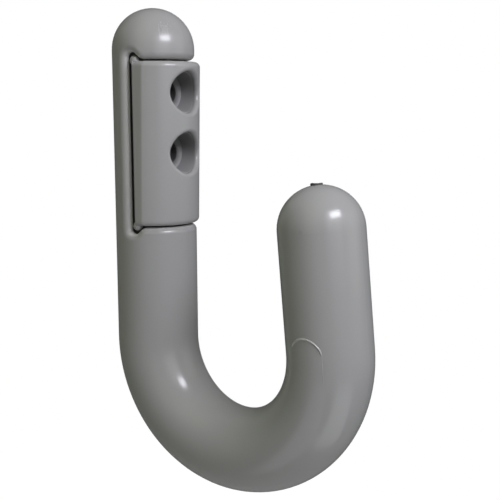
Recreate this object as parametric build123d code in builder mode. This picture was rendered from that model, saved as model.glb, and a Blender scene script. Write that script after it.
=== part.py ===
from build123d import *
import os
from math import sqrt

# Wall-mounted coat hook: a J of round bar with a separate block that takes the two wall screws.
# The wall is the plane X = 0, +X points into the room and +Z up. The J lies in the plane Y = 0.
# The origin is on the wall, midway between the two screws. Sizes are in millimetres.

# Bar and J
bar_diameter = 20.0
leg_length = 70.5
bend_radius = 25.2
bend_angle = 185.1
tip_length = 27.5
back_flat_width = 10.0

# Wall screws and the deep recesses for their heads, each with a nearly flat seat
screw_spacing = 14.4
screw_drop = 10.25
screw_hole_diameter = 5.2
head_mouth_diameter = 10.1
head_seat_diameter = 8.8
head_recess_depth = 6.15
head_seat_slope = 0.25
head_lip_radius = 0.9

# Insert that fills the pocket
insert_drop = 2.95
insert_length = 39.05
foot_clearance = 0.5
foot_rise = 0.5
pad_rise = 2.15
insert_proud = 1.12
insert_lean = 1.3
insert_front_excess = 0.5
insert_side_inset = 0.1
insert_end_radius = 1.3
insert_side_radius = 1.6

# Round-ended catches on the insert's two ends, with their gaps in the undercuts
catch_radius = 1.1
catch_end_radius = 0.95
catch_rise = 0.15
catch_side_inset = 0.45
catch_side_clearance = 0.65
catch_slope_clearance = 0.2
catch_top_clearance = 0.85

# Pocket in the long leg: its floor lies a little behind the bar's axis and has a shallow well for
# the insert's foot. Each end has an undercut for the catch, which runs forward from the floor and
# ends in a slope of 45 degrees.
floor_behind_axis = 0.45
well_depth = 1.0
well_rim = 0.3
pocket_clearance = 0.4
tongue_clearance = 0.15
pocket_edge_radius = 1.6
undercut_crest_flat = 0.08
undercut_foot_margin = 0.6

# Gate mark left by moulding on the crown of the tip dome: a stub in a shallow dimple
gate_diameter = 3.0
gate_depth = 0.4
gate_stub_diameter = 1.8
gate_stub_height = 0.5

# Places worked out from the sizes
bar_radius = bar_diameter / 2
axis_x = sqrt(bar_radius**2 - (back_flat_width / 2) ** 2)
front_x = axis_x + bar_radius
dome_z = screw_drop + screw_spacing / 2
bend_z = dome_z - leg_length
floor_x = axis_x - floor_behind_axis
well_x = floor_x - well_depth
well_half_width = bar_radius - pocket_edge_radius - well_rim
insert_half = insert_length / 2
insert_mid_z = dome_z - insert_drop - insert_half
insert_front_x = front_x + insert_proud
insert_front_radius = bar_radius + insert_front_excess
insert_round_x = insert_front_x - insert_front_radius
insert_side_y = bar_radius - insert_side_inset
foot_half_width = well_half_width - foot_clearance
flank_x = floor_x + foot_rise
pad_rear_x = floor_x + pad_rise
seat_x = insert_front_x - head_recess_depth
recess_outer_x = insert_front_x + head_lip_radius
recess_taper = (head_mouth_diameter - head_seat_diameter) / 2 / head_recess_depth
recess_outer_radius = head_seat_diameter / 2 + recess_taper * (recess_outer_x - seat_x)
catch_x = floor_x + catch_side_clearance + catch_radius
catch_z = insert_half + catch_rise
catch_half_width = insert_side_y - catch_side_inset
catch_slope_gap = sqrt(2) * (catch_radius + catch_slope_clearance)
pocket_half = insert_half + pocket_clearance
undercut_height = catch_z + catch_radius + catch_top_clearance - pocket_half
undercut_foot_x = catch_x + catch_z - pocket_half + catch_slope_gap
undercut_crest_x = undercut_foot_x - undercut_height
undercut_crest_radius = (undercut_crest_x - floor_x - undercut_crest_flat) / sqrt(2)
undercut_foot_radius = pocket_edge_radius + undercut_foot_margin
cut_reach = bar_diameter

# How near a point counts as lying on a surface, when edges are picked
tolerance = 0.01

# Side view plane through the middle of the insert: local X is out of the wall, local Y is up
side_view = Plane(origin=(0, 0, insert_mid_z), x_dir=(1, 0, 0), z_dir=(0, -1, 0))


def on_bar(edge):
    """True for an edge that lies on the long leg's round surface."""
    spots = [edge @ t for t in (0, 0.25, 0.5, 0.75, 1)]
    return all(abs(sqrt((p.X - axis_x) ** 2 + p.Y**2) - bar_radius) < tolerance for p in spots)


def ahead_of_pad_rear(edge):
    """True for an edge that lies in front of the pad's rear face."""
    return (edge @ 0.5).X > pad_rear_x + tolerance


def on_side_corner(edge):
    """True for a long edge of the pad where its flat side meets its round front."""
    return ahead_of_pad_rear(edge) and edge.length > insert_half and abs((edge @ 0.5).Y) > bar_radius / 2


def on_pad_front(edge):
    """True for the closed edge where a screw recess opens on the front of the insert."""
    return edge.is_closed and (edge @ 0).X > (seat_x + insert_front_x) / 2


# The J of round bar
with BuildPart() as hook_body:
    with BuildLine(Plane.XZ) as centreline:
        long_leg = Line((axis_x, dome_z), (axis_x, bend_z))
        bend = JernArc(start=long_leg @ 1, tangent=(0, -1), radius=bend_radius, arc_size=bend_angle)
        tip = PolarLine(start=bend @ 1, length=tip_length, direction=bend % 1)
    with BuildSketch(Plane(origin=long_leg @ 0, x_dir=(-1, 0, 0), z_dir=(0, 0, -1))):
        Circle(bar_radius)
    sweep(path=centreline.wires()[0])
    with Locations(long_leg @ 0, tip @ 1):
        Sphere(bar_radius)

    # Pocket, cut right across the bar, with its rounded mouth
    with BuildSketch(side_view) as pocket_outline:
        with BuildLine():
            Polyline(
                (floor_x, 0),
                (floor_x, pocket_half + undercut_height),
                (undercut_crest_x, pocket_half + undercut_height),
                (undercut_foot_x, pocket_half),
                (front_x + cut_reach, pocket_half),
                (front_x + cut_reach, 0),
                close=True,
            )
        make_face()
        mirror(about=Plane.XZ)
        for corner_x, radius in (
            (floor_x, undercut_crest_radius),
            (undercut_crest_x, undercut_crest_radius),
            (undercut_foot_x, undercut_foot_radius),
        ):
            corners = pocket_outline.vertices().filter_by(lambda v: abs(v.X - corner_x) < tolerance)
            fillet(corners, radius)
    extrude(amount=cut_reach, both=True, mode=Mode.SUBTRACT)
    mouth = hook_body.edges(Select.LAST).filter_by(on_bar)
    fillet(mouth, pocket_edge_radius)

    # Shallow well in the pocket floor
    with BuildSketch(side_view):
        with Locations((well_x, 0)):
            Rectangle(pad_rear_x - well_x, 2 * pocket_half, align=(Align.MIN, Align.CENTER))
    extrude(amount=well_half_width, both=True, mode=Mode.SUBTRACT)

    # Screw holes through the pocket floor, and the flat that lies on the wall
    with BuildSketch(Plane.YZ):
        with GridLocations(0, screw_spacing, 1, 2):
            Circle(screw_hole_diameter / 2)
    extrude(amount=front_x, mode=Mode.SUBTRACT)
    split(bisect_by=Plane.YZ, keep=Keep.TOP)

    # Gate mark on the crown of the tip dome
    crown = Plane(origin=tip @ 1 + (tip % 1) * bar_radius, z_dir=tip % 1)
    with BuildSketch(crown):
        Circle(gate_diameter / 2)
    extrude(amount=-gate_depth, mode=Mode.SUBTRACT)
    with BuildSketch(crown.offset(-gate_depth)):
        Circle(gate_stub_diameter / 2)
    extrude(amount=gate_stub_height)
hook_body.part.label = "hook_body"

# Front pad of the insert: a round front that leans out at the top, trimmed flat at the bar's sides
with BuildPart() as front_pad:
    upright = Plane(origin=(insert_round_x, 0, insert_mid_z), x_dir=(-1, 0, 0), z_dir=(0, 0, 1))
    with BuildSketch(upright.rotated((0, insert_lean, 0))):
        Circle(insert_front_radius)
        Rectangle(2 * cut_reach, 2 * insert_side_y, mode=Mode.INTERSECT)
    extrude(amount=insert_length, both=True)
    with BuildSketch(side_view):
        with Locations((pad_rear_x, 0)):
            Rectangle(cut_reach, insert_length, align=(Align.MIN, Align.CENTER))
    extrude(amount=cut_reach, both=True, mode=Mode.INTERSECT)
    fillet(front_pad.edges().filter_by(on_side_corner), insert_side_radius)
    end_faces = front_pad.faces().sort_by(Axis.Z)
    end_edges = end_faces[0].edges() + end_faces[-1].edges()
    fillet(end_edges.filter_by(ahead_of_pad_rear), insert_end_radius)

# Round-ended catches at the top and the bottom of the insert
with BuildPart() as catches:
    with BuildSketch(side_view):
        with Locations((catch_x, catch_z), (catch_x, -catch_z)):
            Circle(catch_radius)
    extrude(amount=catch_half_width, both=True)
    fillet(catches.edges().filter_by(GeomType.CIRCLE), catch_end_radius)

# Insert: the pad and the catches on a narrow foot that widens towards the pad
with BuildPart() as fixing_insert:
    with BuildSketch(side_view):
        with Locations((well_x, 0)):
            Rectangle(pad_rear_x - well_x, insert_length, align=(Align.MIN, Align.CENTER))
    extrude(amount=cut_reach, both=True)
    with BuildSketch(Plane.XY.offset(insert_mid_z)):
        with Locations((axis_x, 0)):
            Circle(bar_radius)
        with BuildLine():
            Polyline(
                (well_x, foot_half_width),
                (flank_x, foot_half_width),
                (pad_rear_x, insert_side_y),
                (front_x, insert_side_y),
                (front_x, -insert_side_y),
                (pad_rear_x, -insert_side_y),
                (flank_x, -foot_half_width),
                (well_x, -foot_half_width),
                close=True,
            )
        make_face(mode=Mode.INTERSECT)
    extrude(amount=insert_length, both=True, mode=Mode.INTERSECT)
    add(front_pad.part)
    add(catches.part)

    # Tongue as wide as the foot, which fills the undercuts
    with BuildSketch(side_view):
        add(pocket_outline.sketch_local)
        offset(amount=-tongue_clearance, mode=Mode.REPLACE)
        with Locations((undercut_foot_x, 0)):
            Rectangle(
                2 * cut_reach,
                2 * insert_length,
                align=(Align.MIN, Align.CENTER),
                mode=Mode.SUBTRACT,
            )
    extrude(amount=foot_half_width, both=True)

    # Deep recess for each screw head: tapered wall, nearly flat seat, clearance hole
    for height in (screw_spacing / 2, -screw_spacing / 2):
        with BuildSketch(Plane(origin=(0, 0, height), x_dir=(1, 0, 0), z_dir=(0, -1, 0))):
            with BuildLine():
                Polyline(
                    (0, 0),
                    (0, screw_hole_diameter / 2),
                    (seat_x - head_seat_slope, screw_hole_diameter / 2),
                    (seat_x, head_seat_diameter / 2),
                    (recess_outer_x, recess_outer_radius),
                    (recess_outer_x, 0),
                    close=True,
                )
            make_face()
        revolve(axis=Axis((0, 0, height), (1, 0, 0)), mode=Mode.SUBTRACT)
    fillet(fixing_insert.edges().filter_by(on_pad_front), head_lip_radius)
fixing_insert.part.label = "fixing_insert"

os.makedirs("parts", exist_ok=True)
export_step(hook_body.part, "parts/hook_body.step")
export_step(fixing_insert.part, "parts/fixing_insert.step")
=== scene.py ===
import math

import bpy
import numpy as np
from mathutils import Matrix, Vector


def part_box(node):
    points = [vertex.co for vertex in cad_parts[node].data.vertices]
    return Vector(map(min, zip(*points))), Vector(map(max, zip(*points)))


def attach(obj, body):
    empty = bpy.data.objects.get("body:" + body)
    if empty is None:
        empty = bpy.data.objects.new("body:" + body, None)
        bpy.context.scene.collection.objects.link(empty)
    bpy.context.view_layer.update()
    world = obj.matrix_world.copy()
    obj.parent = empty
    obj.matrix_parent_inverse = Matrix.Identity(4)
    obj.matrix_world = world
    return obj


# Lengths are in millimetres from the wall and from the middle between the screws, and angles are in
# degrees, where no comment says otherwise. The scene itself is in metres.
MM = 0.001

# The bar of the hook, its U bend and its short leg
BAR_RADIUS = 10.0
BACK_FLAT_WIDTH = 10.0
BEND_RADIUS = 25.2
BEND_ANGLE = 185.1
LONG_LEG_LENGTH = 70.5
TIP_LENGTH = 27.5

# Direction across the J, to its far side
ACROSS = np.array((0.0, 1.0, 0.0))

# Moulded mark on the side of the short leg: an arch with a faint leg that runs down from it.
# Angles turn round the short leg from its outer side, and lengths run along it from its dome centre.
MARK_CENTRE_ANGLE = -94.5
MARK_CENTRE_ALONG = -27.3
MARK_RADIUS = 4.35
MARK_ARCH_START = 150.0
MARK_ARCH_END = 10.0
MARK_LEG_LENGTH = 6.5
MARK_WIDTH = 0.6
MARK_HEIGHT = 0.22
MARK_LEG_SHARE = 0.22
MARK_LEAST_SHARE = 0.01
MARK_SINK = 0.02
MARK_FADE = 0.08
MARK_ARCH_POINTS = 64
MARK_LEG_POINTS = 24
MARK_ACROSS_POINTS = 9

# Thin line that the two halves of the mould leave all round the J
PARTING_WIDTH = 0.16
PARTING_HEIGHT = 0.02

# Torn stub of the gate on the crown of the short leg's dome, a little off the leg's axis. The first
# share of its profile climbs the side, and the rest crosses the top. Each wave of its tear has a count
# per turn, a share and a start in radians.
GATE_RADIUS = 1.4
GATE_HEIGHT = 0.32
GATE_SINK = 0.4
GATE_SLANT = -0.08
GATE_OFFSET = (-0.2, -0.35)
GATE_SIDE_SHARE = 0.4
GATE_TEAR = 0.05
GATE_WAVES = ((3.0, 1.0, 0.7), (7.0, 0.6, 2.1))
GATE_ROUGHNESS = 0.6
GATE_PROFILE_POINTS = 25
GATE_ROUND_POINTS = 49

# Worn patch with fine scuffs on the front of the long leg's dome
SCUFF_CENTRE = (16.5, -5.0, 22.5)
SCUFF_RADIUS = 7.0

# Camera: where it looks, from which side, how far off, and its small roll. The clip distances are in
# metres, and the focal length and the frame in pixels of the photo.
CAMERA_TARGET = (37.09, 0.0, -29.53)
CAMERA_AZIMUTH = 35.0
CAMERA_ELEVATION = 8.11
CAMERA_ROLL = -0.36
CAMERA_DISTANCE = 235.7
CAMERA_CLIP = (0.01, 20.0)
SENSOR_WIDTH = 36.0
FOCAL_PIXELS = 1006.6
FRAME_PIXELS = 500.0

# Distance of a lamp from the middle of the hook, its width and its height, in metres
NEAR_SMALL = (0.30, 0.14, 0.075)
FAR_WIDE = (0.70, 0.50, 0.50)

# Plain soft lamps: azimuth from the room side, elevation, place and size, power in watts and colour.
# The key lamp is near and small, and gives the glints on the two domes and the bend. The lamps from
# above, the wall's side and the far side give no glints, so they draw no bright patch or rim where the
# bar turns away from them.
SOFT_LAMPS = {
    "key": (-14.0, 40.0, NEAR_SMALL, 0.63, (0.91, 0.91, 1.0)),
    "front_left": (-25.0, 20.0, FAR_WIDE, 1.05, (0.98, 0.98, 1.0)),
    "left": (-80.0, 15.0, FAR_WIDE, 0.30, (1.0, 0.95, 0.80)),
    "right": (25.0, 15.0, FAR_WIDE, 0.57, (1.0, 1.0, 0.85)),
    "top": (-30.0, 80.0, FAR_WIDE, 1.95, (1.0, 0.98, 0.98)),
    "below": (-20.0, -45.0, FAR_WIDE, 0.94, (0.98, 1.0, 0.99)),
    "below_left": (-90.0, -40.0, FAR_WIDE, 0.58, (0.89, 0.83, 1.0)),
    "top_left": (-90.0, 50.0, FAR_WIDE, 0.27, (0.94, 1.0, 0.40)),
    "wall_left": (-140.0, 5.0, FAR_WIDE, 0.34, (0.68, 1.0, 0.10)),
    "wall_behind": (165.0, 5.0, FAR_WIDE, 1.0, (1.0, 1.0, 1.0)),
    "far_side": (100.0, 10.0, FAR_WIDE, 1.4, (1.0, 1.0, 1.0)),
}
LAMPS_WITHOUT_GLINTS = ("top", "wall_left", "wall_behind", "far_side")
WHITE = (1.0, 1.0, 1.0)
WORLD_STRENGTH = 0.07

# Floor: its height and half its side in metres, its own colour, and how white the camera sees it
FLOOR_Z = -0.75
FLOOR_HALF = 1.5
FLOOR_COLOUR = (0.80, 0.80, 0.80)
FLOOR_WHITE_SHARE = 0.9
FLOOR_WHITE_STRENGTH = 1.12

# Colours of the plastic, linear, and the greys and near blacks that paint highlights and shade
PLASTIC_GREY = (0.300, 0.300, 0.302)
PLASTIC_DARKER = (0.285, 0.285, 0.286)
# Lighter grey on the pocket's rounded mouth: a painted highlight
PAINTED_HIGHLIGHT_GREY = (0.460, 0.460, 0.455)
# Lighter grey of the raised mark: a painted highlight along its ridge
MARK_PAINTED_HIGHLIGHT_GREY = (0.380, 0.380, 0.378)
# Near blacks of the gate stub: painted shade where the gate's pit lies in shadow
GATE_PAINTED_SHADE = (0.045, 0.045, 0.040)
GATE_PAINTED_SHADE_TONE = (0.075, 0.075, 0.070)
# Near black that darkens the gap round the insert and the screw recesses: painted shade
PAINTED_SHADE_COLOUR = (0.012, 0.012, 0.012)

# Finish of the moulding: roughness, what each mark adds to it, and the size of the grain and the tones.
# Flow marks are the grain drawn out along the height.
GLOSS_ROUGHNESS = 0.21
SCUFF_ROUGHNESS = 0.14
INSERT_FLOW_ROUGHNESS = 0.06
CATCH_ROUGHNESS = 0.30
GRAIN_SIZE = 0.5
GRAIN_DEPTH = 0.004
GRAIN_DETAIL = 3.0
TONE_SIZE = 9.0
TONE_DETAIL = 2.0
FLOW_STRETCH = (1.0, 1.0, 0.08)
FLOW_DETAIL = 2.0

# Painted shade in the gap round the insert: how far off the wall it starts and is full, how deep below
# the bar's surface, how far above and below the pocket's middle, and how far from each screw's axis
GAP_FRONT_OF = (6.5, 7.0)
GAP_DEPTH = (1.5, 1.8)
GAP_HALF_LENGTH = (21.9, 22.5)
GAP_RECESS_REACH = (5.3, 5.6)
GAP_SHARE = 0.85
POCKET_MIDDLE_Z = -5.02
SCREW_HALF_SPACING = 7.2

# Depth below the bar's surface at which the pocket's rounded edge starts to take the painted highlight on
# the J and the duller finish on the insert, and takes them fully
EDGE_HIGHLIGHT_AND_WEAR_DEPTH = (0.1, 0.9)

# Painted shade inside the screw recesses: it grows with depth below the front, and is deeper under the upper
# wall
RECESS_REACH = (5.2, 5.6)
RECESS_FRONT = (17.2, 19.2)
RECESS_BORE = (13.3, 13.7)
RECESS_UPPER = (-3.0, 2.5)
RECESS_LOWER_SHARE = 0.15
RECESS_UPPER_SHARE = 0.40
RECESS_BORE_SHARE = 0.85


def direction(azimuth, elevation):
    """Unit vector: azimuth turns from +X towards +Y, elevation rises from the XY plane."""
    turn = math.radians(azimuth)
    rise = math.radians(elevation)
    return Vector((math.cos(rise) * math.cos(turn), math.cos(rise) * math.sin(turn), math.sin(rise)))


def opaque(colour):
    """A colour with full alpha."""
    return (*colour, 1.0)


def new_object(name, data):
    """A new object in the scene with this data, at the origin."""
    piece = bpy.data.objects.new(name, data)
    bpy.context.scene.collection.objects.link(piece)
    return piece


def add_node(tree, kind, inputs=None, **settings):
    """A node of this kind in the tree, with its settings, and a value or a link for each named input."""
    node = tree.nodes.new(kind)
    for name, value in settings.items():
        setattr(node, name, value)
    for name, value in (inputs or {}).items():
        if isinstance(value, bpy.types.NodeSocket):
            tree.links.new(value, node.inputs[name])
        else:
            node.inputs[name].default_value = value
    return node


def add_output(tree, kind, share, first, second):
    """An output node that shows the first shader, or the second where the share is one."""
    pick = add_node(tree, "ShaderNodeMixShader", {"Fac": share, 1: first.outputs[0], 2: second.outputs[0]})
    add_node(tree, kind, {"Surface": pick.outputs[0]})


def maths(tree, operation, first, second=0.0):
    """The result of a maths node on one or two values or sockets."""
    return add_node(tree, "ShaderNodeMath", {0: first, 1: second}, operation=operation).outputs[0]


def smooth_step(tree, value, start, end, rising):
    """A smooth step on a value, up or down, between two places given as metres or sockets."""
    low, high = (0.0, 1.0) if rising else (1.0, 0.0)
    inputs = {"Value": value, "From Min": start, "From Max": end, "To Min": low, "To Max": high}
    return add_node(tree, "ShaderNodeMapRange", inputs, interpolation_type="SMOOTHSTEP").outputs[0]


def step_between(tree, value, ends, rising):
    """A smooth step on a value in metres, between two ends in millimetres, up or down."""
    return smooth_step(tree, value, ends[0] * MM, ends[1] * MM, rising)


def length_of(tree, first, second):
    """The length of a flat vector with these two parts."""
    flat = add_node(tree, "ShaderNodeCombineXYZ", {"X": first, "Y": second}).outputs[0]
    return add_node(tree, "ShaderNodeVectorMath", {0: flat}, operation="LENGTH").outputs["Value"]


def mix_colour(tree, share, first, second):
    """The first colour, or the second where the share is one."""
    inputs = {"Factor": share, "A": first, "B": second}
    return add_node(tree, "ShaderNodeMix", inputs, data_type="RGBA").outputs["Result"]


def moved_point(tree, point, centre):
    """Object coordinates measured from a centre given in millimetres."""
    inputs = {0: point, 1: tuple(part * MM for part in centre)}
    return add_node(tree, "ShaderNodeVectorMath", inputs, operation="SUBTRACT").outputs["Vector"]


def start_group(name, inputs, outputs):
    """A new shader group with float inputs and outputs and a vector input called Point."""
    group = bpy.data.node_groups.new(name, "ShaderNodeTree")
    group.interface.new_socket("Point", in_out="INPUT", socket_type="NodeSocketVector")
    for port in inputs:
        group.interface.new_socket(port, in_out="INPUT", socket_type="NodeSocketFloat")
    for port in outputs:
        group.interface.new_socket(port, in_out="OUTPUT", socket_type="NodeSocketFloat")
    return group, group.nodes.new("NodeGroupInput").outputs


def place_group(tree, group, point, **values):
    """A copy of a shader group in a material, with its point and its values."""
    inputs = {name.replace("_", " "): value for name, value in values.items()}
    return add_node(tree, "ShaderNodeGroup", {"Point": point, **inputs}, node_tree=group).outputs


def add_camera():
    """Camera on a sphere round its target, turned about its own axis by the small roll."""
    back = direction(CAMERA_AZIMUTH - 90.0, CAMERA_ELEVATION)
    right = direction(CAMERA_AZIMUTH, 0.0)
    up = back.cross(right)
    roll = math.radians(CAMERA_ROLL)
    rolled_right = math.cos(roll) * right + math.sin(roll) * up
    rolled_up = math.cos(roll) * up - math.sin(roll) * right
    turn = Matrix((rolled_right, rolled_up, back)).transposed().to_4x4()
    data = bpy.data.cameras.new("camera")
    data.sensor_width = SENSOR_WIDTH
    data.lens = SENSOR_WIDTH * FOCAL_PIXELS / FRAME_PIXELS
    data.clip_start, data.clip_end = CAMERA_CLIP
    camera = new_object("camera", data)
    centre = Vector(CAMERA_TARGET) * MM + back * CAMERA_DISTANCE * MM
    camera.matrix_world = Matrix.Translation(centre) @ turn
    bpy.context.scene.camera = camera


def add_soft_lamps():
    """Flat area lamps that face the middle of the hook."""
    middle = Vector(CAMERA_TARGET) * MM
    for name, (azimuth, elevation, (distance, width, height), power, colour) in SOFT_LAMPS.items():
        data = bpy.data.lights.new(name, "AREA")
        data.shape = "RECTANGLE"
        data.size = width
        data.size_y = height
        data.energy = power
        data.color = colour
        towards = direction(azimuth, elevation)
        lamp = new_object("lamp_" + name, data)
        lamp.visible_glossy = name not in LAMPS_WITHOUT_GLINTS
        turn = towards.to_track_quat("Z", "Y").to_matrix().to_4x4()
        lamp.matrix_world = Matrix.Translation(middle + towards * distance) @ turn


def add_world():
    """A world that lights faintly and evenly, and that the camera sees as plain white."""
    world = bpy.data.worlds.new("studio")
    bpy.context.scene.world = world
    world.use_nodes = True
    tree = world.node_tree
    tree.nodes.clear()
    path = add_node(tree, "ShaderNodeLightPath")
    room = add_node(tree, "ShaderNodeBackground", {"Color": opaque(WHITE), "Strength": WORLD_STRENGTH})
    white = add_node(tree, "ShaderNodeBackground", {"Color": opaque(WHITE), "Strength": 1.0})
    add_output(tree, "ShaderNodeOutputWorld", path.outputs["Is Camera Ray"], room, white)


def add_floor():
    """A plain pale square below the hook, nearly white to the camera, which keeps the hook's soft shadow."""
    mesh = bpy.data.meshes.new("floor")
    signs = ((-1, -1), (1, -1), (1, 1), (-1, 1))
    mesh.from_pydata([(x * FLOOR_HALF, y * FLOOR_HALF, FLOOR_Z) for x, y in signs], [], [(0, 1, 2, 3)])
    floor = new_object("floor", mesh)
    material = bpy.data.materials.new("pale floor")
    material.use_nodes = True
    tree = material.node_tree
    tree.nodes.clear()
    path = add_node(tree, "ShaderNodeLightPath")
    paint = add_node(tree, "ShaderNodeBsdfDiffuse", {"Color": opaque(FLOOR_COLOUR)})
    white = add_node(tree, "ShaderNodeEmission", {"Color": opaque(WHITE), "Strength": FLOOR_WHITE_STRENGTH})
    share = maths(tree, "MULTIPLY", path.outputs["Is Camera Ray"], FLOOR_WHITE_SHARE)
    add_output(tree, "ShaderNodeOutputMaterial", share, paint, white)
    mesh.materials.append(material)


def satin_moulding_group():
    """Shader group for the whole skin: a fine spark grain, slow shifts of tone, and hairline flow marks."""
    group, given = start_group("satin moulding", ["Grain Scale", "Tone Scale"], ["Grain", "Tone", "Flow"])

    def noise(point, scale, detail):
        inputs = {"Vector": point, "Scale": scale, "Detail": detail}
        return add_node(group, "ShaderNodeTexNoise", inputs).outputs[0]

    grain = noise(given["Point"], given["Grain Scale"], GRAIN_DETAIL)
    tone = noise(given["Point"], given["Tone Scale"], TONE_DETAIL)
    drawn_out = add_node(group, "ShaderNodeMapping", {"Vector": given["Point"], "Scale": FLOW_STRETCH})
    flow = noise(drawn_out.outputs[0], given["Grain Scale"], FLOW_DETAIL)
    add_node(group, "NodeGroupOutput", {"Grain": grain, "Tone": tone, "Flow": flow})
    return group


def parting_line_group():
    """Shader group: one on the plane Y = 0, falling smoothly to zero at half the line's width."""
    group, given = start_group("parting line", ["Half Width"], ["Mask"])
    split = add_node(group, "ShaderNodeSeparateXYZ", {"Vector": given["Point"]})
    off = maths(group, "ABSOLUTE", split.outputs["Y"])
    mask = smooth_step(group, off, 0.0, given["Half Width"], False)
    add_node(group, "NodeGroupOutput", {"Mask": mask})
    return group


def round_patch_group():
    """Shader group: one at a centre point, falling smoothly to zero at a radius from it."""
    group, given = start_group("round patch", ["Radius"], ["Mask"])
    reach = add_node(group, "ShaderNodeVectorMath", {0: given["Point"]}, operation="LENGTH")
    mask = smooth_step(group, reach.outputs["Value"], 0.0, given["Radius"], False)
    add_node(group, "NodeGroupOutput", {"Mask": mask})
    return group


def pocket_gap_group():
    """Shader group for painted shade and a painted highlight round the pocket of the long leg.

    The Mask output is one deep inside the pocket, zero on the skin and in the screw recesses, and darkens
    the gap there as painted shade. The depth is the bar's radius less the distance from the long leg's
    axis. The mask is the product of smooth steps on that depth, on the distance from the wall, on the
    height above or below the pocket's middle, and on the distance from the nearer screw's axis. The Edge
    output is one on the pocket's rounded mouth: the product of a step that starts a little below the skin
    with the wall's step and the height's. It lightens the J's mouth as a painted highlight, and makes the
    insert's catches duller.
    """
    group, given = start_group("pocket gap", [], ["Mask", "Edge"])
    part = add_node(group, "ShaderNodeSeparateXYZ", {"Vector": given["Point"]}).outputs
    from_axis = length_of(group, maths(group, "SUBTRACT", part["X"], axis_x() * MM), part["Y"])
    depth = maths(group, "SUBTRACT", BAR_RADIUS * MM, from_axis)
    from_middle = maths(group, "ABSOLUTE", maths(group, "SUBTRACT", part["Z"], POCKET_MIDDLE_Z * MM))
    from_screw = maths(group, "SUBTRACT", maths(group, "ABSOLUTE", part["Z"]), SCREW_HALF_SPACING * MM)
    deep = step_between(group, depth, GAP_DEPTH, True)
    off_wall = step_between(group, part["X"], GAP_FRONT_OF, True)
    in_length = step_between(group, from_middle, GAP_HALF_LENGTH, False)
    off_screw = step_between(group, length_of(group, part["Y"], from_screw), GAP_RECESS_REACH, True)
    highlight_and_wear = step_between(group, depth, EDGE_HIGHLIGHT_AND_WEAR_DEPTH, True)
    in_pocket = maths(group, "MULTIPLY", off_wall, in_length)
    edge = maths(group, "MULTIPLY", highlight_and_wear, in_pocket)
    mask = maths(group, "MULTIPLY", maths(group, "MULTIPLY", deep, in_pocket), off_screw)
    add_node(group, "NodeGroupOutput", {"Mask": mask, "Edge": edge})
    return group


def recess_painted_shade_group():
    """Shader group: the painted shade inside the two screw recesses and their bores, from nothing to one.

    It is the larger of two values. The wall's is a step on the depth below the front, times a lower
    share plus an upper share that comes in above the screw's axis. The bore's is a step below the seat.
    Both fall to zero outside a reach from the nearer screw's axis.
    """
    group, given = start_group("recess painted shade", [], ["Mask"])
    part = add_node(group, "ShaderNodeSeparateXYZ", {"Vector": given["Point"]}).outputs
    screw_z = maths(group, "MULTIPLY", maths(group, "SIGN", part["Z"]), SCREW_HALF_SPACING * MM)
    height = maths(group, "SUBTRACT", part["Z"], screw_z)
    near = step_between(group, length_of(group, part["Y"], height), RECESS_REACH, False)
    upper = maths(group, "MULTIPLY", step_between(group, height, RECESS_UPPER, True), RECESS_UPPER_SHARE)
    wall = maths(group, "ADD", upper, RECESS_LOWER_SHARE)
    wall = maths(group, "MULTIPLY", wall, step_between(group, part["X"], RECESS_FRONT, False))
    bore = maths(group, "MULTIPLY", step_between(group, part["X"], RECESS_BORE, False), RECESS_BORE_SHARE)
    mask = maths(group, "MULTIPLY", maths(group, "MAXIMUM", wall, bore), near)
    add_node(group, "NodeGroupOutput", {"Mask": mask})
    return group


def skin_material(name, grey=PLASTIC_GREY, darker=PLASTIC_DARKER):
    """A material with the satin moulding finish, and its point, its finish values and its colour."""
    material = bpy.data.materials.new(name)
    material.use_nodes = True
    tree = material.node_tree
    point = add_node(tree, "ShaderNodeTexCoord").outputs["Object"]
    grain_scale = 1.0 / (GRAIN_SIZE * MM)
    tone_scale = 1.0 / (TONE_SIZE * MM)
    skin = place_group(tree, SATIN_MOULDING, point, Grain_Scale=grain_scale, Tone_Scale=tone_scale)
    colour = mix_colour(tree, skin["Tone"], opaque(grey), opaque(darker))
    return material, point, skin, colour


def finish_skin(material, colour, roughness, height):
    """Joins colour, roughness and a height in metres to the shader of a moulded skin."""
    tree = material.node_tree
    shader = tree.nodes["Principled BSDF"]
    bump = add_node(tree, "ShaderNodeBump", {"Height": height, "Strength": 1.0, "Distance": 1.0})
    tree.links.new(colour, shader.inputs["Base Color"])
    tree.links.new(roughness, shader.inputs["Roughness"])
    tree.links.new(bump.outputs[0], shader.inputs["Normal"])


def hook_material():
    """Satin grey moulding of the J, with its parting line and the scuffed front of its dome, and painted
    shade in the pocket's gap with a painted highlight on its rounded mouth.
    """
    material, point, skin, colour = skin_material("satin grey hook moulding")
    tree = material.node_tree
    line = place_group(tree, PARTING_LINE, point, Half_Width=PARTING_WIDTH / 2 * MM)["Mask"]
    from_patch = moved_point(tree, point, SCUFF_CENTRE)
    patch = place_group(tree, ROUND_PATCH, from_patch, Radius=SCUFF_RADIUS * MM)["Mask"]
    scuffs = maths(tree, "MULTIPLY", patch, skin["Flow"])
    roughness = maths(tree, "ADD", maths(tree, "MULTIPLY", scuffs, SCUFF_ROUGHNESS), GLOSS_ROUGHNESS)
    grain = maths(tree, "MULTIPLY", skin["Grain"], GRAIN_DEPTH * MM)
    seam = maths(tree, "MULTIPLY", line, PARTING_HEIGHT * MM)
    pocket = place_group(tree, POCKET_GAP, point)
    # Painted shade: the gap deep in the pocket is darkened towards near black
    gap_shade = maths(tree, "MULTIPLY", pocket["Mask"], GAP_SHARE)
    # Painted highlight: the pocket's rounded mouth is lightened
    colour = mix_colour(tree, pocket["Edge"], colour, opaque(PAINTED_HIGHLIGHT_GREY))
    colour = mix_colour(tree, gap_shade, colour, opaque(PAINTED_SHADE_COLOUR))
    finish_skin(material, colour, roughness, maths(tree, "ADD", grain, seam))
    return material


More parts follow.
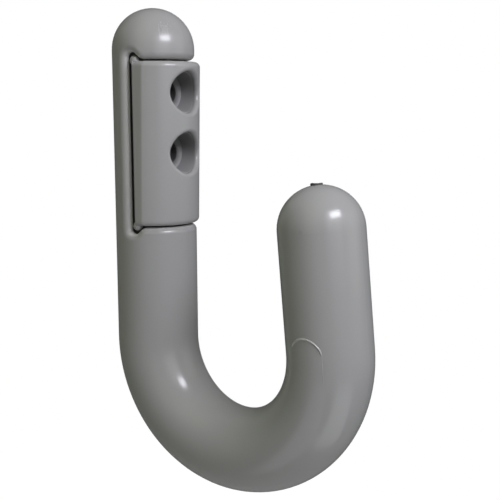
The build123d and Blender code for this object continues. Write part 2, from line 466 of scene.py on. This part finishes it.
def insert_material():
    """Satin grey moulding of the insert: flow marks up and down, duller catches, and painted shade in the
    gap and the recesses.
    """
    material, point, skin, colour = skin_material("satin grey insert moulding")
    tree = material.node_tree
    pocket = place_group(tree, POCKET_GAP, point)
    dull = maths(tree, "MULTIPLY", pocket["Edge"], CATCH_ROUGHNESS)
    flow = maths(tree, "MULTIPLY", skin["Flow"], INSERT_FLOW_ROUGHNESS)
    roughness = maths(tree, "ADD", maths(tree, "ADD", flow, dull), GLOSS_ROUGHNESS)
    grain = maths(tree, "MULTIPLY", skin["Grain"], GRAIN_DEPTH * MM)
    # Painted shade: the gap round the insert is darkened towards near black
    gap_shade = maths(tree, "MULTIPLY", pocket["Mask"], GAP_SHARE)
    # Painted shade: the screw recesses darken with depth, more under their upper wall, and most in the bores
    recess_painted_shade = place_group(tree, RECESS_PAINTED_SHADE, point)["Mask"]
    colour = mix_colour(tree, gap_shade, colour, opaque(PAINTED_SHADE_COLOUR))
    colour = mix_colour(tree, recess_painted_shade, colour, opaque(PAINTED_SHADE_COLOUR))
    finish_skin(material, colour, roughness, grain)
    return material


def relief_material(name, grey, darker, roughness):
    """A plain satin grey moulding in a tone of its own, for a small relief on the J."""
    material, _, skin, colour = skin_material(name, grey, darker)
    tree = material.node_tree
    flow = maths(tree, "MULTIPLY", skin["Flow"], INSERT_FLOW_ROUGHNESS)
    grain = maths(tree, "MULTIPLY", skin["Grain"], GRAIN_DEPTH * MM)
    finish_skin(material, colour, maths(tree, "ADD", flow, roughness), grain)
    return material


def axis_x():
    """How far the long leg's axis stands off the wall, from the bar and the flat along its back."""
    return math.sqrt(BAR_RADIUS**2 - (BACK_FLAT_WIDTH / 2) ** 2)


def short_leg():
    """Dome centre, upward direction and outward direction of the short leg, worked out along the J."""
    top_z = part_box("hook_body")[1][2] / MM
    bend_z = top_z - BAR_RADIUS - LONG_LEG_LENGTH
    lean = math.radians(BEND_ANGLE - 180.0)
    up = np.array((-math.sin(lean), 0.0, math.cos(lean)))
    out = np.array((math.cos(lean), 0.0, math.sin(lean)))
    centre = np.array((axis_x() + BEND_RADIUS, 0.0, bend_z)) + BEND_RADIUS * out + TIP_LENGTH * up
    return centre, up, out


def mark_path():
    """Points of the mark on the unrolled short leg, with the share of its full height at each point.

    The arch is a part circle about its centre, and the leg runs straight down from the arch's end. The
    height grows from nothing over a short stretch at the arch's start, falls to a small share over a
    stretch as long at its end, and fades to nothing along the leg.
    """
    turn = np.radians(np.linspace(MARK_ARCH_START, MARK_ARCH_END, MARK_ARCH_POINTS))
    centre = np.array((math.radians(MARK_CENTRE_ANGLE) * BAR_RADIUS, MARK_CENTRE_ALONG))
    arch = centre + MARK_RADIUS * np.stack((np.cos(turn), np.sin(turn)), axis=1)
    down = np.linspace(0.0, MARK_LEG_LENGTH, MARK_LEG_POINTS + 1)[1:]
    leg = arch[-1] - np.stack((np.zeros(MARK_LEG_POINTS), down), axis=1)
    part = np.linspace(0.0, 1.0, MARK_ARCH_POINTS)
    rise = np.clip(part / MARK_FADE, 0.0, 1.0)
    fall = 1.0 - (1.0 - MARK_LEG_SHARE) * np.clip((part - 1.0 + MARK_FADE) / MARK_FADE, 0.0, 1.0)
    share_leg = MARK_LEG_SHARE * (1.0 - down / MARK_LEG_LENGTH)
    return np.concatenate((arch, leg)), np.concatenate((rise * fall, share_leg))


def add_moulded_mark():
    """Low rounded ridge along the mark: at each point of the path the section is a full wave from foot to
    foot, and its width goes with the square root of the share of the full height.

    A point across the ridge lies at the path plus its sideways offset, on the unrolled surface. It is
    then rolled back on to the leg: the first coordinate over the bar's radius is the angle round the
    leg, the second runs along the leg, and the section's height adds to the radius.
    """
    path, share = mark_path()
    ahead = np.gradient(path, axis=0)
    ahead /= np.linalg.norm(ahead, axis=1)[:, None]
    side = np.stack((-ahead[:, 1], ahead[:, 0]), axis=1)
    sideways = np.linspace(-1.0, 1.0, MARK_ACROSS_POINTS)
    half_width = MARK_WIDTH / 2 * np.sqrt(np.clip(share, MARK_LEAST_SHARE, 1.0))
    flat = path[:, None, :] + side[:, None, :] * sideways[None, :, None] * half_width[:, None, None]
    wave = (1.0 + np.cos(math.pi * sideways)) / 2
    height = share[:, None] * wave[None, :] * MARK_HEIGHT - MARK_SINK
    centre, up, out = short_leg()
    angle = flat[..., 0] / BAR_RADIUS
    round_leg = np.cos(angle)[..., None] * out + np.sin(angle)[..., None] * ACROSS
    points = centre + flat[..., 1][..., None] * up + (BAR_RADIUS + height)[..., None] * round_leg
    piece = grid_object("moulded_mark", points * MM)
    # The mark's lighter grey is a painted highlight along the ridge
    dress(piece, relief_material("raised mark with painted highlight", MARK_PAINTED_HIGHLIGHT_GREY, PLASTIC_GREY, GLOSS_ROUGHNESS))
    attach(piece, "root")


def add_gate_stub():
    """Low torn stub on the crown: rings about the leg's axis, from the foot up the side to the middle.

    Up the side the radius keeps to the stub's own and the height climbs from below the crown to the
    top. Then the radius falls to nothing as a square root. The top is slanted across, and torn by
    waves round the axis that fade out at the foot and at the middle.
    """
    centre, up, out = short_leg()
    part = np.linspace(0.0, 1.0, GATE_PROFILE_POINTS)
    around = np.linspace(0.0, 2.0 * math.pi, GATE_ROUND_POINTS)
    ring = GATE_RADIUS * np.sqrt(np.clip((1.0 - part) / (1.0 - GATE_SIDE_SHARE), 0.0, 1.0))
    climbed = np.clip(part / GATE_SIDE_SHARE, 0.0, 1.0)
    climb = -GATE_SINK + (GATE_SINK + GATE_HEIGHT) * climbed
    waves = sum(share * np.sin(count * around + start) for count, share, start in GATE_WAVES)
    tear = GATE_TEAR * waves[None, :] * (np.sin(math.pi * part) ** 2)[:, None]
    slant = GATE_SLANT * np.sin(around)[None, :] * (ring / GATE_RADIUS * climbed)[:, None]
    height = BAR_RADIUS + climb[:, None] + tear + slant
    flat = np.cos(around)[None, :, None] * out + np.sin(around)[None, :, None] * ACROSS
    foot = centre + GATE_OFFSET[0] * out + GATE_OFFSET[1] * ACROSS
    points = foot + height[..., None] * up + ring[:, None, None] * flat
    piece = grid_object("gate_stub", points * MM)
    # The stub's near black is painted shade for the shadowed pit at the gate
    dress(piece, relief_material("torn gate in painted shade", GATE_PAINTED_SHADE, GATE_PAINTED_SHADE_TONE, GATE_ROUGHNESS))
    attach(piece, "root")


def grid_object(name, points):
    """An object whose faces are the squares of a grid of points, smooth shaded."""
    rows, columns = points.shape[:2]
    corner = (np.arange(rows - 1)[:, None] * columns + np.arange(columns - 1)[None, :]).ravel()
    faces = np.stack((corner, corner + 1, corner + columns + 1, corner + columns), axis=1)
    mesh = bpy.data.meshes.new(name)
    mesh.from_pydata(points.reshape(-1, 3).tolist(), [], faces.tolist())
    mesh.polygons.foreach_set("use_smooth", np.ones(len(mesh.polygons), dtype=bool))
    mesh.update()
    return new_object(name, mesh)


def dress(piece, material):
    """Gives a piece this one material."""
    piece.data.materials.clear()
    piece.data.materials.append(material)


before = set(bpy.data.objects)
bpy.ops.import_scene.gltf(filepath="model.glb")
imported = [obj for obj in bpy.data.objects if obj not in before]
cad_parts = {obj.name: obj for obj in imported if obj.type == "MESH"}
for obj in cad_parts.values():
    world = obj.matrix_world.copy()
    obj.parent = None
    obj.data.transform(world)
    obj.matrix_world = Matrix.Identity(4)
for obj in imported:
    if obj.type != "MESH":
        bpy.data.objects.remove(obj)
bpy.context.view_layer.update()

# Shader groups that the materials share
SATIN_MOULDING = satin_moulding_group()
PARTING_LINE = parting_line_group()
ROUND_PATCH = round_patch_group()
POCKET_GAP = pocket_gap_group()
RECESS_PAINTED_SHADE = recess_painted_shade_group()

add_camera()
add_soft_lamps()
add_world()
add_floor()
dress(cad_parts["hook_body"], hook_material())
dress(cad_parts["fixing_insert"], insert_material())
add_moulded_mark()
add_gate_stub()
bpy.context.scene.view_settings.view_transform = "Standard"
